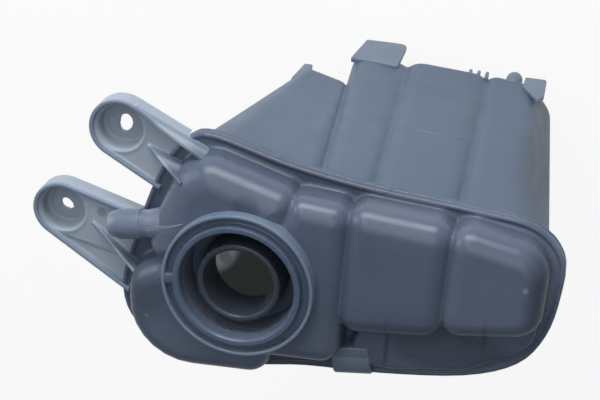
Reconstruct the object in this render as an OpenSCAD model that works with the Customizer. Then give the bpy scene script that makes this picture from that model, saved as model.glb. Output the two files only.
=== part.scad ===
// Coolant expansion tank: two moulded halves joined at a welded flange.
// The origin is the centre of the neck rim and +Z points out of the neck.

/* [Tank body] */
// Depth of the flange face below the neck rim
flange_drop = 27; // [24:0.5:32]
// Thickness of each flange lip
lip_t = 3; // [2.5:0.5:4]
// Width of the flange lip outside the tank wall
lip_w = 7.5; // [6:0.5:9]
// Wall thickness of both halves
wall = 3; // [2.5:0.25:4]
// Depth of the lower half below the flange
body_depth = 175; // [150:1:190]
// Rounding of the far ends of the columns
end_round = 8; // [5:0.5:12]

/* [Pillows] */
// Height of the pillows above the flange face
pillow_rise = 19.5; // [16:0.5:21]
// Height of the dome beside the neck above the flange face
dome_rise = 21; // [18:0.5:23]
// Height of the ledge behind the pillows above the flange face
ledge_rise = 6.2; // [4:0.5:9]
// Squareness of the pillow section, from round to boxy
pillow_power = 4; // [3:0.5:6]
// Overlap of neighbouring pillows, which sets the height of the valley
overlap = 1.5; // [1:0.25:2.5]
// Place of the valley between the first and second pillow
valley_a = 45; // [42:0.5:50]
// Place of the valley between the second and third pillow
valley_b = 90; // [86:0.5:94]

/* [Columns] */
// Place of the groove between the first and second column at the flange
fold_a = 26; // [22:0.5:30]
// Place of the groove between the second and third column at the flange
fold_b = 50; // [46:0.5:54]
// Place of the groove between the third and last column at the flange
fold_c = 89; // [85:0.5:93]

/* [Filler neck] */
// Radius of the threaded bore
bore_r = 26; // [24:0.5:27]
// Thickness of the neck wall
neck_t = 3.2; // [2.6:0.1:3.6]
// Gap between the neck wall and the collar round it
collar_gap = 3.9; // [3:0.1:4.8]
// Wall thickness of the collar
collar_t = 1.5; // [1.2:0.1:2.5]
// Depth of the threaded bore below the rim
bore_depth = 21; // [16:1:24]
// Depth of the groove between neck and collar
groove_depth = 8; // [6:0.5:9]
// Gap between the threaded bore and the sealing tube
cap_gap = 6.8; // [6:0.2:8]
// Wall thickness of the sealing tube
tube_t = 3.2; // [2.4:0.2:4]
// Depth of the lower end of the sealing tube below the rim
tube_depth = 36; // [30:1:42]

/* [Mounting ears] */
// Width of the upper ear outside its cup
ear_a_edge = 2.4; // [1.5:0.1:4]
// Width of the lower ear outside its cup
ear_b_edge = 1.8; // [1.5:0.1:4]
// Thickness of the ear plates
ear_t = 2.5; // [2:0.25:3]
// Inner radius of the grommet cups
cup_r = 10.4; // [9:0.1:11.5]
// Depth of the grommet cups
cup_depth = 7; // [5:0.5:9]
// Thickness of the cup floors round the bolt holes
cup_floor = 2; // [1.5:0.25:3]
// Radius of the bolt holes
bolt_r = 3.3; // [2.6:0.1:4]
// Depth of the skirt round the ears
skirt = 5.5; // [3:0.5:6.5]
// Thickness of the ear rims
rim_t = 2; // [1.5:0.25:2.5]
// Thickness of the gussets and of the thin web in the lower ear
gusset_t = 1.6; // [1.2:0.1:2]

/* [Hose connections] */
// Outer radius of the vent spigot
vent_r = 6.2; // [5.6:0.1:6.4]
// Height of the hose seat on the vent spigot
vent_seat = 0.8; // [0.5:0.1:1]
// Wall thickness of the vent spigot
vent_t = 2.2; // [1.6:0.1:3]
// Outer radius of the outlet spigot under the tank
outlet_r = 11; // [9:0.5:12]
// Wall thickness of the outlet spigot
outlet_t = 3; // [2:0.25:4]
// Length of the outlet spigot
outlet_len = 26; // [20:1:34]

/* [Hidden] */
$fn = 72;
shade = "#5d6a80";
flange_z = -flange_drop;
weld_z = flange_z - lip_t;
body_z = weld_z - lip_t;
far_z = body_z - body_depth;
// Clearance between the ears and the lip of the lower half
gap = 0.3;
// Reach of the cutting blocks
far = 300;
// Inner ribs of the upper half: places along the tank, thickness and where they end across it
rib_places = [67, 110];
rib_t = 2.4;
rib_end = 6;
// Core that opens the way under the valleys
core_at = [-30, 0];
core = [145, 24, 8];
// Neck: radii that follow from the bore, levels of the collar and the tube, and the opening in the skin under it
neck_r = bore_r + neck_t;
collar_r = neck_r + collar_gap + collar_t;
tube_r = bore_r - cap_gap;
tube_bore = tube_r - tube_t;
collar_z = -1;
collar_foot = -13;
tube_top = -4;
bevel = 0.4;
lead = 1;
opening_z = -18;
// Web across the groove of the neck: direction and thickness
neck_web_way = 184;
neck_web_t = 3.6;
// Ears: cup centres, and the points where their sides run under the flange lip
ear_a_r = cup_r + rim_t + ear_a_edge;
ear_b_r = cup_r + rim_t + ear_b_edge;
ear_a = [-65.3, 54.3];
ear_a_low = [-36.5, 23.6];
ear_a_high = [-24, 51.6];
ear_b = [-91.6, 8.8];
ear_b_low = [-56.2, -27.6];
ear_b_high = [-48, 12.9];
ear_b_plate = [-58, -10.6];
rim_low = weld_z - skirt;
rim_high = flange_z + 2;
// Vent spigot: start inside the dome, direction, and places along it
vent_at = [-44, 15.2, -17];
vent_way = 11.5;
vent_seat_from = 5.4;
vent_seat_to = 16.9;
vent_tip = 24;
// Clip block: corner, length, radius and height
clip_at = [42.5, -39];
clip_len = 18;
clip_r = 8;
clip_h = 7;
// Far end: outlet, knob and teeth
outlet_at = [64, 0];
knob_at = [95, 38];
knob_r = 4.4;
tooth_places = [70.5, 75, 79.5];
tooth_y = 37;

// Flange edge, seen from the neck side, anticlockwise
edge = [
    [-21, 59.5], [-33.5, 55.5], [-43, 43], [-50.8, 22], [-56.5, 0], [-61, -22], [-56.5, -39.5], [-42.5, -50.5],
    [-20, -55.5], [5, -54], [30, -49], [65, -45.8], [103, -38.6], [126, -27], [136.6, -10], [140, 11],
    [138.2, 30], [124.5, 42.5], [100, 45.5], [50, 47.5], [13, 52]
];

function unit(v) = v / norm(v);
function turn(v) = [-v[1], v[0]];
function mix(a, b, t) = a + (b - a) * t;

// Smooth closed curve through the points p, with k steps between neighbours
function spline(p, k) = [
    for (i = [0:len(p) - 1], j = [0:k - 1])
        let (n = len(p), a = p[(i + n - 1) % n], b = p[i], c = p[(i + 1) % n], d = p[(i + 2) % n], t = j / k)
            b + ((c - a) * t + (2 * a - 5 * b + 4 * c - d) * t * t + (3 * b - a - 3 * c + d) * t * t * t) / 2
];

// Closed curve moved inwards by d
function inset(p, d) = [
    for (i = [0:len(p) - 1])
        let (n = len(p), u = unit(p[(i + 1) % n] - p[(i + n - 1) % n])) p[i] + d * turn(u)
];

// Rounded outline: p lists corners as [x, y, radius], anticlockwise, with k steps a corner
function rounded(p, k) = [
    for (i = [0:len(p) - 1])
        let (
            n = len(p), a = p[(i + n - 1) % n], b = p[i], c = p[(i + 1) % n],
            u = unit([a[0] - b[0], a[1] - b[1]]), v = unit([c[0] - b[0], c[1] - b[1]]),
            half = acos(u * v) / 2, m = [b[0], b[1]] + unit(u + v) * b[2] / sin(half),
            start = atan2(u[0], -u[1])
        )
        for (j = [0:k])
            m + b[2] * [cos(start + (180 - 2 * half) * j / k), sin(start + (180 - 2 * half) * j / k)]
];

// Arc about m from angle a to b
function arc(m, r, a, b) = [for (j = [0:6]) m + r * [cos(a + (b - a) * j / 6), sin(a + (b - a) * j / 6)]];

// Sections of a form as [spread, height] pairs from its foot to its top: crowned, or straight with a rounded end
function crowned(power, steps) = [
    for (k = [0:steps - 1]) [pow(cos(90 * k / steps), 2 / power), pow(sin(90 * k / steps), 2 / power)]
];
function straight(width, height, r, steps) = concat([[1, 0]], [
    for (k = [0:steps]) [1 - r / width * (1 - cos(90 * k / steps)), 1 - r / height * (1 - sin(90 * k / steps))]
]);

// Form over an outline: it stands h high, follows rings, shrinks to taper at the top and leans by lean
module lobe(outline, centre, h, rings, skin = 0, taper = [1, 1], lean = [0, 0]) {
    n = len(outline);
    m = len(rings);
    rise = h - skin;
    function place(p, s, t) =
        let (q = (p - centre) * (1 - skin / norm(p - centre)) * s)
            [centre[0] + lean[0] * t + q[0] * mix(1, taper[0], t), centre[1] + lean[1] * t + q[1] * mix(1, taper[1], t)];
    points = [for (r = rings, p = outline) let (q = place(p, r[0], r[1])) [q[0], q[1], rise * r[1]]];
    top = [centre[0] + lean[0], centre[1] + lean[1], rise];
    sides = [for (k = [0:m - 2], i = [0:n - 1]) let (a = k * n + i, b = k * n + (i + 1) % n) [a, a + n, b + n, b]];
    crown = [for (i = [0:n - 1]) [(m - 1) * n + i, m * n, (m - 1) * n + (i + 1) % n]];
    polyhedron(concat(points, [top]), concat([[for (i = [0:n - 1]) i]], sides, crown), convexity = 4);
}

// Outlines of the raised forms of the upper half
dome_line = [[21.5, 10, 5], [21.5, 43.5, 8], [-20, 54, 13], [-38, 48, 16], [-48, 20, 24], [-47, -8, 12], [10, -12, 10]];
drum_line = [[-53.3, -55, 30], [15, -48.8, 9], [15, 12, 9], [-34, 14, 12], [-53.5, -4, 16]];
first_line = [[4, -42, 8], [valley_a + overlap, -38, 8], [valley_a + overlap, 42, 8], [20, 43, 6], [4, 14, 10]];
second_line = [
    [valley_a - overlap, -20, 9], [valley_b + overlap, -13, 9], [valley_b + overlap, 42.5, 9], [valley_a - overlap, 44, 8]
];
third_line = [[valley_b - overlap, -13, 9], [134, -4, 12], [134, 37, 14], [valley_b - overlap, 44, 9]];
ledge_line = [[48, -40, 8], [70, -39, 8], [104, -32, 20], [131, -14, 14], [133, 6, 6], [60, 6, 8]];

module raised_forms(skin, k, steps) {
    rings = crowned(pillow_power, steps);
    translate([0, 0, flange_z - 0.01 * (skin > 0 ? 1 : 0)]) {
        lobe(rounded(dome_line, k), [-10, 16], dome_rise, rings, skin);
        lobe(rounded(drum_line, k), [-12, -14], pillow_rise, rings, skin);
        lobe(rounded(first_line, k), [26, 2], pillow_rise, rings, skin);
        lobe(rounded(second_line, k), [(valley_a + valley_b) / 2, 5], pillow_rise, rings, skin);
        lobe(rounded(third_line, k), [valley_b + 21, 8], pillow_rise, rings, skin);
        lobe(rounded(ledge_line, k), [92, -14], ledge_rise, crowned(8, 5), skin);
    }
}

module flange_plate(z, t) {
    translate([0, 0, z]) linear_extrude(t) polygon(spline(edge, 4));
}

// Area inside the walls at the flange, under forms with these outlines
module inner_area(lines) {
    intersection() {
        polygon(inset(spline(edge, 2), lip_w + wall));
        offset(delta = -wall) for (line = lines) polygon(rounded(line, 4));
    }
}

// Open space of the upper half, which runs through under all the forms
module upper_space() {
    difference() {
        raised_forms(wall, 4, 6);
        for (x = rib_places)
            translate([x - rib_t / 2, rib_end - far, -far / 2]) cube([rib_t, far, far]);
    }
    translate([0, 0, weld_z - 1]) linear_extrude(lip_t + 1 + ledge_rise - wall)
        inner_area([dome_line, drum_line, first_line, second_line, third_line, ledge_line]);
    translate([core_at[0], core_at[1], flange_z - 1]) cube(core + [0, 0, 1]);
}

module upper_skin() {
    resize([0, 0, 0]) difference() {
        union() {
            raised_forms(0, 6, 8);
            flange_plate(weld_z, lip_t);
        }
        upper_space();
        place_vent() translate([0, 0, -wall]) cylinder(r = vent_r - vent_t / 2, h = 3 * wall);
    }
}

module neck() {
    rotate_extrude() polygon([
        [tube_bore, -tube_depth], [tube_r, -tube_depth], [tube_r, -bore_depth - wall], [neck_r, -bore_depth - wall],
        [neck_r, -groove_depth - wall], [collar_r - collar_t, -groove_depth - wall], [collar_r - collar_t, collar_foot],
        [collar_r, collar_foot], [collar_r, collar_z - bevel], [collar_r - bevel, collar_z],
        [collar_r - collar_t + bevel, collar_z], [collar_r - collar_t, collar_z - bevel],
        [collar_r - collar_t, -groove_depth], [neck_r, -groove_depth], [neck_r, -bevel], [neck_r - bevel, 0],
        [bore_r + lead, 0], [bore_r, -2 * lead], [bore_r, -bore_depth], [tube_r, -bore_depth],
        [tube_r, tube_top - lead], [tube_r - lead, tube_top], [tube_bore + lead, tube_top], [tube_bore, tube_top - lead]
    ]);
    rotate(neck_web_way) translate([neck_r - bevel, -neck_web_t / 2, -groove_depth - 1])
        cube([collar_gap + 2 * bevel, neck_web_t, groove_depth - 0.5]);
}

// Outward direction of the straight side of an ear between its tip circle and the point q
function side(p, r, q, way) =
    let (d = q - p, a = atan2(d[1], d[0]) + way * acos(r / norm(d))) [cos(a), sin(a)];

// Outline of an ear: a round tip with straight sides to the points low and high, moved inwards by t
module strap(p, r, low, high, t = 0) {
    u = side(p, r, low, -1);
    v = side(p, r, high, 1);
    a = atan2(v[1], v[0]);
    b = atan2(u[1], u[0]) + 360;
    tip = [for (k = [0:30]) let (c = mix(a, b, k / 30)) p + (r - t) * [cos(c), sin(c)]];
    polygon(concat([low - t * u, high - t * v], tip));
}

// Ear: a rim, a plate level with the upper lip and a cup for the rubber grommet
module ear(p, r, low, high, plate_low) {
    cup_z = weld_z - cup_depth;
    difference() {
        union() {
            difference() {
                translate([0, 0, rim_low]) linear_extrude(rim_high - rim_low) strap(p, r, low, high);
                translate([0, 0, rim_low - 1]) linear_extrude(rim_high - rim_low + 2) strap(p, r, low, high, rim_t);
            }
            translate([0, 0, weld_z]) linear_extrude(ear_t) strap(p, r, plate_low, high, rim_t / 2);
            translate([p[0], p[1], cup_z]) cylinder(r = cup_r + rim_t, h = cup_depth + ear_t);
            children();
        }
        translate([p[0], p[1], cup_z + cup_floor + 1]) cylinder(r = cup_r, h = cup_depth + 10);
        translate([p[0], p[1], cup_z + cup_floor]) cylinder(r = cup_r - 2.2, h = 2);
        translate([p[0], p[1], cup_z - 1]) cylinder(r = bolt_r, h = cup_floor + 2);
        translate([0, 0, weld_z]) linear_extrude(20) polygon(inset(spline(edge, 4), lip_w / 2));
        translate([0, 0, weld_z - 20]) linear_extrude(20) polygon(inset(spline(edge, 4), -gap));
    }
}

// Thin web under the lower ear, between its rim and a rib along the edge of its plate
module ear_b_web() {
    u = side(ear_b, ear_b_r, ear_b_low, -1);
    v = side(ear_b, ear_b_r, ear_b_plate, -1);
    start = ear_b + (ear_b_r - rim_t / 2) * v;
    translate([0, 0, rim_low]) linear_extrude(gusset_t)
        polygon([start, ear_b + (ear_b_r - rim_t / 2) * u, ear_b_low - rim_t / 2 * u, ear_b_plate]);
    web(start, ear_b_plate, gusset_t, rim_low, weld_z + ear_t - 0.4, rim_low, weld_z + ear_t - 0.4);
}

// Upright web from p to q, where low and high are its lower and upper edge at each end
module web(p, q, t, low_p, high_p, low_q, high_q) {
    d = q - p;
    translate(p) rotate(atan2(d[1], d[0])) rotate([90, 0, 0]) translate([0, 0, -t / 2])
        linear_extrude(t) polygon([[0, low_p], [norm(d), low_q], [norm(d), high_q], [0, high_p]]);
}

// Gussets from the ears to the dome and the drum
module ear_webs() {
    plate_top = weld_z + ear_t - 0.4;
    web([-58, 67.6], [-16, 49.8], rim_t, weld_z + 1, rim_high, weld_z + 1, flange_z + 10);
    web([-53, 48], [-35, 37.5], gusset_t, weld_z + 1, plate_top, weld_z + 1, flange_z + 10);
    web([-77, 3.2], [-50, -13.6], gusset_t, weld_z + 1, plate_top, weld_z + 1, flange_z + 5);
}

module place_vent() {
    translate(vent_at) rotate([0, -90, vent_way]) children();
}

// Vent spigot, from the dome towards the ears, with a raised seat for the hose
module vent() {
    seat_r = vent_r + vent_seat;
    place_vent() difference() {
        union() {
            cylinder(r = vent_r, h = vent_seat_to);
            translate([0, 0, vent_seat_from]) cylinder(r = seat_r, h = vent_seat_to - vent_seat_from);
            translate([0, 0, vent_seat_to]) cylinder(r1 = seat_r, r2 = vent_r - lead, h = vent_tip - vent_seat_to);
        }
        translate([0, 0, -1]) cylinder(r = vent_r - vent_t, h = vent_tip + 2);
    }
}

// Block for a pipe clip, on the lip behind the first valley, with a small tab at its foot
module clip_block() {
    intersection() {
        translate([clip_at[0], clip_at[1] - clip_r + 1.5, weld_z]) cube([clip_len, 2 * clip_r - 2, lip_t + clip_h]);
        translate([clip_at[0], clip_at[1], flange_z - 1]) rotate([0, 90, 0]) cylinder(r = clip_r, h = clip_len);
    }
    translate([clip_at[0] + clip_len - clip_r + 0.5, clip_at[1] - clip_r, weld_z]) cube([6, 6, lip_t + 1]);
}

module upper_shell() {
    color(shade) {
        difference() {
            upper_skin();
            translate([0, 0, opening_z]) cylinder(r = collar_r - collar_t / 2 - 0.1, h = 4 - opening_z);
        }
        neck();
        ear(ear_a, ear_a_r, ear_a_low, ear_a_high, ear_a_low);
        ear(ear_b, ear_b_r, ear_b_low, ear_b_high, ear_b_plate) ear_b_web();
        ear_webs();
        vent();
        clip_block();
    }
}

// Columns of the lower half: outline under the flange, and [left, right, front, back] at the far end
column_lines = [
    [[-38, -47, 20], [fold_a + overlap, -43, 8], [fold_a + overlap, 47.5, 9], [-22, 55, 18], [-43, 46, 20], [-57, -20, 20]],
    [[fold_a - overlap, -42, 7], [fold_b + overlap, -41, 7], [fold_b + overlap, 43, 8], [fold_a - overlap, 46.5, 8]],
    [[fold_b - overlap, -40, 7], [fold_c + overlap, -35, 8], [fold_c + overlap, 41.5, 9], [fold_b - overlap, 43, 9]],
    [[fold_c - overlap, -35, 8], [108, -31, 14], [132, -12, 16], [134, 24, 14], [119, 39, 12], [fold_c - overlap, 41.5, 9]]
];
column_ends = [[-22, 12.5, -34, 47], [7, 40, -34, 44], [36, 83, -32, 44], [79, 119, -28, 43.5]];
column_depths = [body_depth - 42, body_depth, body_depth, body_depth];

function low(p, i) = min([for (q = p) q[i]]);
function high(p, i) = max([for (q = p) q[i]]);

// Column that narrows from its outline to the box at its far end
module column(line, end, h, k, steps, skin) {
    box = [low(line, 0), high(line, 0), low(line, 1), high(line, 1)];
    centre = [box[0] + box[1], box[2] + box[3]] / 2;
    taper = [(end[1] - end[0]) / (box[1] - box[0]), (end[3] - end[2]) / (box[3] - box[2])];
    lean = [end[0] + end[1], end[2] + end[3]] / 2 - centre;
    lobe(rounded(line, k), centre, h, straight(22, h, end_round, steps), skin, taper, lean);
}

module columns(skin, k, steps) {
    translate([0, 0, body_z]) mirror([0, 0, 1]) {
        for (i = [0:3])
            column(column_lines[i], column_ends[i], column_depths[i], k, steps, skin);
        column(trunk_line, trunk_end, body_depth - 1, 4, steps, skin);
    }
}

// Trunk behind the three deep columns, which closes the grooves between them
trunk_line = [[16, -37, 6], [106, -27, 12], [126, -10, 12], [128, 22, 12], [115, 34, 10], [16, 40, 6]];
trunk_end = [14, 112, -28, 38];

module lower_skin() {
    resize([0, 0, 0]) difference() {
        union() {
            columns(0, 6, 5);
            flange_plate(body_z, lip_t);
        }
        translate([0, 0, 0.01]) columns(wall, 4, 3);
        translate([0, 0, body_z - 0.01]) linear_extrude(lip_t + 1) inner_area(concat(column_lines, [trunk_line]));
        translate([0, -22, body_z - column_depths[0] + 30]) cube([30, 50, column_depths[0] - 30]);
        translate([outlet_at[0], outlet_at[1], far_z - 1]) cylinder(r = outlet_r - outlet_t / 2, h = 3 * wall);
    }
}

// Upright plate in the far end, drawn as [along, down] points from the point p
module end_plate(p, t, line) {
    translate(p) rotate([90, 0, 0]) linear_extrude(t) polygon(line);
}

// Locating tongue, tab, fin, knob and teeth
module end_features() {
    end_plate([9, 43.5, far_z], 3, concat([[0, 14], [1, -19], [16, -21]], arc([20, -17], 4, -90, 0), [[24, 16]]));
    end_plate([-18, 42, body_z - column_depths[0]], 3, [[0, 12], [1, -13], [6, -13], [8, 6]]);
    end_plate([103, 43, far_z], 2.5, [[0, 14], [0, 0], [10.5, -1], [11.5, 1], [12.5, 24], [8, 30]]);
    translate([knob_at[0], knob_at[1], far_z - 5]) sphere(r = knob_r);
    translate([knob_at[0], knob_at[1], far_z - 5]) cylinder(r = knob_r, h = 12);
    for (x = tooth_places)
        translate([x, tooth_y, far_z - 2.5]) cube([1.8, 5, 10]);
}

// Outlet spigot, open through the far wall
module outlet() {
    translate([outlet_at[0], outlet_at[1], far_z - outlet_len]) difference() {
        cylinder(r = outlet_r, h = outlet_len + wall + 0.5);
        translate([0, 0, -1]) cylinder(r = outlet_r - outlet_t, h = outlet_len + 3 * wall);
    }
}

module lower_shell() {
    color(shade) {
        lower_skin();
        end_features();
        outlet();
    }
}

upper_shell();
lower_shell();
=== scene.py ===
# Coolant expansion tank: the look of its two welded mouldings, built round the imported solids.
# Sizes are in millimetres in the tank's own frame: the centre of the neck's rim, +Z out of the neck.
import math
import bpy
import numpy as np
import openvdb
from mathutils import Matrix, Vector


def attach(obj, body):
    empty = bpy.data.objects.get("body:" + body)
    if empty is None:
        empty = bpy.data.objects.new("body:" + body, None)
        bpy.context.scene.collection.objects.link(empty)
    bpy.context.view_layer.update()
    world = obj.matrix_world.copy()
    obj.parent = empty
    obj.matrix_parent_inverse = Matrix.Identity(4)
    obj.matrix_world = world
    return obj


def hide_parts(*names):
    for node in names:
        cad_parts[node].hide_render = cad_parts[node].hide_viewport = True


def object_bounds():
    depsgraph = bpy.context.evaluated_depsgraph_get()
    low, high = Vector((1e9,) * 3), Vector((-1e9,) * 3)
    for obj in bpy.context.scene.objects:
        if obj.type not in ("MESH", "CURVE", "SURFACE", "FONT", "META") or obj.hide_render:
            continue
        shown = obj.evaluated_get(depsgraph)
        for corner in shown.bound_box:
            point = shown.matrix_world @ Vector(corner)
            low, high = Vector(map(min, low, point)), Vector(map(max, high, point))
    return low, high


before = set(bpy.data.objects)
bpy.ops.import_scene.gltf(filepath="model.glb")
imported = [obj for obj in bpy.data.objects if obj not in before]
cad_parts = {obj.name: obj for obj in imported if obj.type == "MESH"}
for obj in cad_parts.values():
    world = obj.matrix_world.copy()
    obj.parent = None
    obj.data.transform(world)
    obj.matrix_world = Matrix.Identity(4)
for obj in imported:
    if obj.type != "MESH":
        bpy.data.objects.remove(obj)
cad_low, cad_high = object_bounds()
MM = 0.001

# ---------------------------------------------------------------- camera and studio
# The camera looks down into the filler neck, with the far end of the tank away from it.
camera_data = bpy.data.cameras.new("camera")
camera_data.lens = 90
camera_data.sensor_width = 36
camera_data.clip_start = 0.01
camera = bpy.data.objects.new("camera", camera_data)
camera_right = Vector((0.9689, 0.0845, -0.2328))
camera_up = Vector((-0.1756, 0.8974, -0.4049))
camera_back = Vector((0.1746, 0.4331, 0.8842))
camera_place = Matrix((camera_right, camera_up, camera_back)).transposed().to_4x4()
camera_place.translation = (0.1360, 0.3230, 0.5609)
camera.matrix_world = camera_place
bpy.context.scene.collection.objects.link(camera)
bpy.context.scene.camera = camera
bpy.context.scene.view_settings.view_transform = "Standard"


def softbox(name, place, aim, size, power):
    # A rectangular lamp turned to its aim.
    light = bpy.data.lights.new(name, "AREA")
    light.shape = "RECTANGLE"
    light.size, light.size_y = size
    light.energy = power
    lamp = bpy.data.objects.new(name, light)
    lamp.location = place
    lamp.rotation_euler = (Vector(aim) - Vector(place)).to_track_quat("-Z", "Y").to_euler()
    bpy.context.scene.collection.objects.link(lamp)


def set_range(node, low, high, start, end):
    # Fills in a Map Range node.
    for socket, number in zip(("From Min", "From Max", "To Min", "To Max"), (low, high, start, end)):
        node.inputs[socket].default_value = number


# The key light stands on the +Y side, nearly level with the neck, and a weaker one on the -X side. A wide fill
# hangs over the neck, and a small lamp makes the glints on the curved tops. The room is darker towards -Y.
# Each has its place, its aim, its width and height in metres, and its watts.
softbox("key", (-0.08, 0.72, 0.2), (0.03, 0, -0.08), (0.6, 0.32), 3.9)
softbox("side", (-0.9, 0.35, 0.25), (0, 0, -0.05), (0.5, 0.5), 1.9)
softbox("fill", (0.1, 0.35, 0.95), (0.0, 0, -0.05), (0.7, 0.7), 1.6)
softbox("glint", (-0.2, 0.6, 0.62), (0.0, 0.04, -0.01), (0.1, 0.1), 0.55)

world = bpy.data.worlds.new("studio")
bpy.context.scene.world = world
world.use_nodes = True
sky = world.node_tree.nodes
sky_links = world.node_tree.links
sky.clear()
seen_path = sky.new("ShaderNodeLightPath")
seen_white = sky.new("ShaderNodeBackground")
seen_white.inputs["Color"].default_value = (1, 1, 1, 1)
seen_white.inputs["Strength"].default_value = 1
room_light = sky.new("ShaderNodeBackground")
room_light.inputs["Color"].default_value = (0.93, 0.96, 1, 1)
sky_way = sky.new("ShaderNodeTexCoord")
sky_parts = sky.new("ShaderNodeSeparateXYZ")
sky_slope = sky.new("ShaderNodeMapRange")
room_dark, room_bright = 0.12, 0.46
set_range(sky_slope, -0.8, 0.8, room_dark, room_bright)
sky_mix = sky.new("ShaderNodeMixShader")
sky_out = sky.new("ShaderNodeOutputWorld")
sky_links.new(sky_way.outputs["Generated"], sky_parts.inputs["Vector"])
sky_links.new(sky_parts.outputs["Y"], sky_slope.inputs["Value"])
sky_links.new(sky_slope.outputs["Result"], room_light.inputs["Strength"])
sky_links.new(seen_path.outputs["Is Camera Ray"], sky_mix.inputs["Fac"])
sky_links.new(room_light.outputs[0], sky_mix.inputs[1])
sky_links.new(seen_white.outputs[0], sky_mix.inputs[2])
sky_links.new(sky_mix.outputs[0], sky_out.inputs["Surface"])

# ---------------------------------------------------------------- floor
# A pale floor just under the outlet. It is near white to the camera and keeps a soft shadow.
floor_mesh = bpy.data.meshes.new("floor")
reach, drop, own_white = 6.0, 0.001, 0.88
floor_z = cad_low.z - drop
floor_mesh.from_pydata(
    [(-reach, -reach, floor_z), (reach, -reach, floor_z), (reach, reach, floor_z), (-reach, reach, floor_z)],
    [], [(0, 1, 2, 3)])
floor = bpy.data.objects.new("floor", floor_mesh)
bpy.context.scene.collection.objects.link(floor)
floor_paint = bpy.data.materials.new("floor_paint")
floor_paint.use_nodes = True
paint = floor_paint.node_tree.nodes
paint_links = floor_paint.node_tree.links
paint.clear()
paint_path = paint.new("ShaderNodeLightPath")
paint_matt = paint.new("ShaderNodeBsdfDiffuse")
paint_matt.inputs["Color"].default_value = (0.9, 0.9, 0.9, 1)
paint_white = paint.new("ShaderNodeEmission")
paint_white.inputs["Color"].default_value = (1, 1, 1, 1)
paint_share = paint.new("ShaderNodeMath")
paint_share.operation = "MULTIPLY"
paint_share.inputs[1].default_value = own_white
paint_mix = paint.new("ShaderNodeMixShader")
paint_out = paint.new("ShaderNodeOutputMaterial")
paint_links.new(paint_path.outputs["Is Camera Ray"], paint_share.inputs[0])
paint_links.new(paint_share.outputs[0], paint_mix.inputs["Fac"])
paint_links.new(paint_matt.outputs[0], paint_mix.inputs[1])
paint_links.new(paint_white.outputs[0], paint_mix.inputs[2])
paint_links.new(paint_mix.outputs[0], paint_out.inputs["Surface"])
floor_mesh.materials.append(floor_paint)

# ---------------------------------------------------------------- upper moulding
# The top half of the tank: dome, drum, three pillows and a ledge on a flange with a bead along its edge.
# Injection moulded in one piece with the neck, ears, vent and clip block, in translucent blue-grey polypropylene.
flange_z, weld_z, body_z = -27.0, -30.0, -33.0
lip_width, half_lip, wall = 7.5, 1.5, 3.0
flange_points = [
    (-21, 59.5), (-33.5, 55.5), (-43, 43), (-50.8, 22), (-56.5, 0), (-61, -22), (-56.5, -39.5), (-42.5, -50.5),
    (-20, -55.5), (5, -54), (30, -49), (65, -45.2), (103, -37.8), (125.6, -26.6), (136, -10), (139.4, 11),
    (138, 30), (124.5, 42.5), (100, 45.5), (50, 47.5), (13, 52)]


def closed_curve(points, steps):
    # A smooth closed curve through points of the plan.
    p = np.array(points, float)
    a, b, c, d = np.roll(p, 1, 0), p, np.roll(p, -1, 0), np.roll(p, -2, 0)
    rows = [
        b + ((c - a) * t + (2 * a - 5 * b + 4 * c - d) * t**2 + (3 * b - a - 3 * c + d) * t**3) / 2
        for t in np.arange(steps) / steps]
    return np.stack(rows, 1).reshape(-1, 2)


def rounded_outline(corners, steps=7):
    # Corners as (x, y, radius), anticlockwise, each turned into an arc.
    line = []
    for i, (bx, by, radius) in enumerate(corners):
        b = np.array((bx, by))
        u = np.array(corners[i - 1][:2]) - b
        v = np.array(corners[(i + 1) % len(corners)][:2]) - b
        u, v = u / np.hypot(*u), v / np.hypot(*v)
        half = math.acos(u @ v) / 2
        middle = b + (u + v) / np.hypot(*(u + v)) * radius / math.sin(half)
        start, turn = math.atan2(u[0], -u[1]), math.pi - 2 * half
        for k in range(steps + 1):
            a = start + turn * k / steps
            line.append(middle + radius * np.array((math.cos(a), math.sin(a))))
    return np.array(line)


def plan_distance(x, y, line):
    # Distance in plan to a closed line, negative inside it.
    near = np.full(np.broadcast(x, y).shape, 1e9, np.float32)
    inside = np.zeros(near.shape, bool)
    for (ax, ay), (bx, by) in zip(line, np.roll(line, -1, 0)):
        ex, ey = bx - ax, by - ay
        t = np.clip(((x - ax) * ex + (y - ay) * ey) / (ex * ex + ey * ey + 1e-12), 0, 1)
        near = np.minimum(near, (x - ax - t * ex) ** 2 + (y - ay - t * ey) ** 2)
        if by != ay:
            inside ^= ((ay > y) != (by > y)) & (x < ex * (y - ay) / ey + ax)
    return (np.sqrt(near) * np.where(inside, -1, 1)).astype(np.float32)


def rounded_top(side, above, radius):
    # Meets a side and a top in a quarter round.
    a, b = side + radius, above + radius
    return np.hypot(np.maximum(a, 0), np.maximum(b, 0)) + np.minimum(np.maximum(a, b), 0) - radius


def soft_union(a, b, radius):
    # Joins two forms with a fillet.
    return np.minimum(a, b) - np.maximum(radius - abs(a - b), 0) ** 2 / (4 * radius)


def grid(low, high, step):
    # The x, y and z of a grid between two corners.
    return np.ogrid[tuple(slice(a, b, step) for a, b in zip(low, high))]


def sample(field, spots):
    # Value of a field at spots given in grid steps.
    base = np.clip(np.floor(spots).astype(int), 0, np.array(field.shape) - 2)
    part = spots - base
    value = 0
    for i, j, k in np.ndindex(2, 2, 2):
        share = abs(1 - i - part[:, 0]) * abs(1 - j - part[:, 1]) * abs(1 - k - part[:, 2])
        value = value + share * field[base[:, 0] + i, base[:, 1] + j, base[:, 2] + k]
    return value


def settle(piece):
    # Bakes the modifiers of a piece into its mesh.
    view = bpy.context.evaluated_depsgraph_get()
    mesh = bpy.data.meshes.new_from_object(piece.evaluated_get(view))
    piece.modifiers.clear()
    piece.data = mesh
    mesh.shade_smooth()


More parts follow.
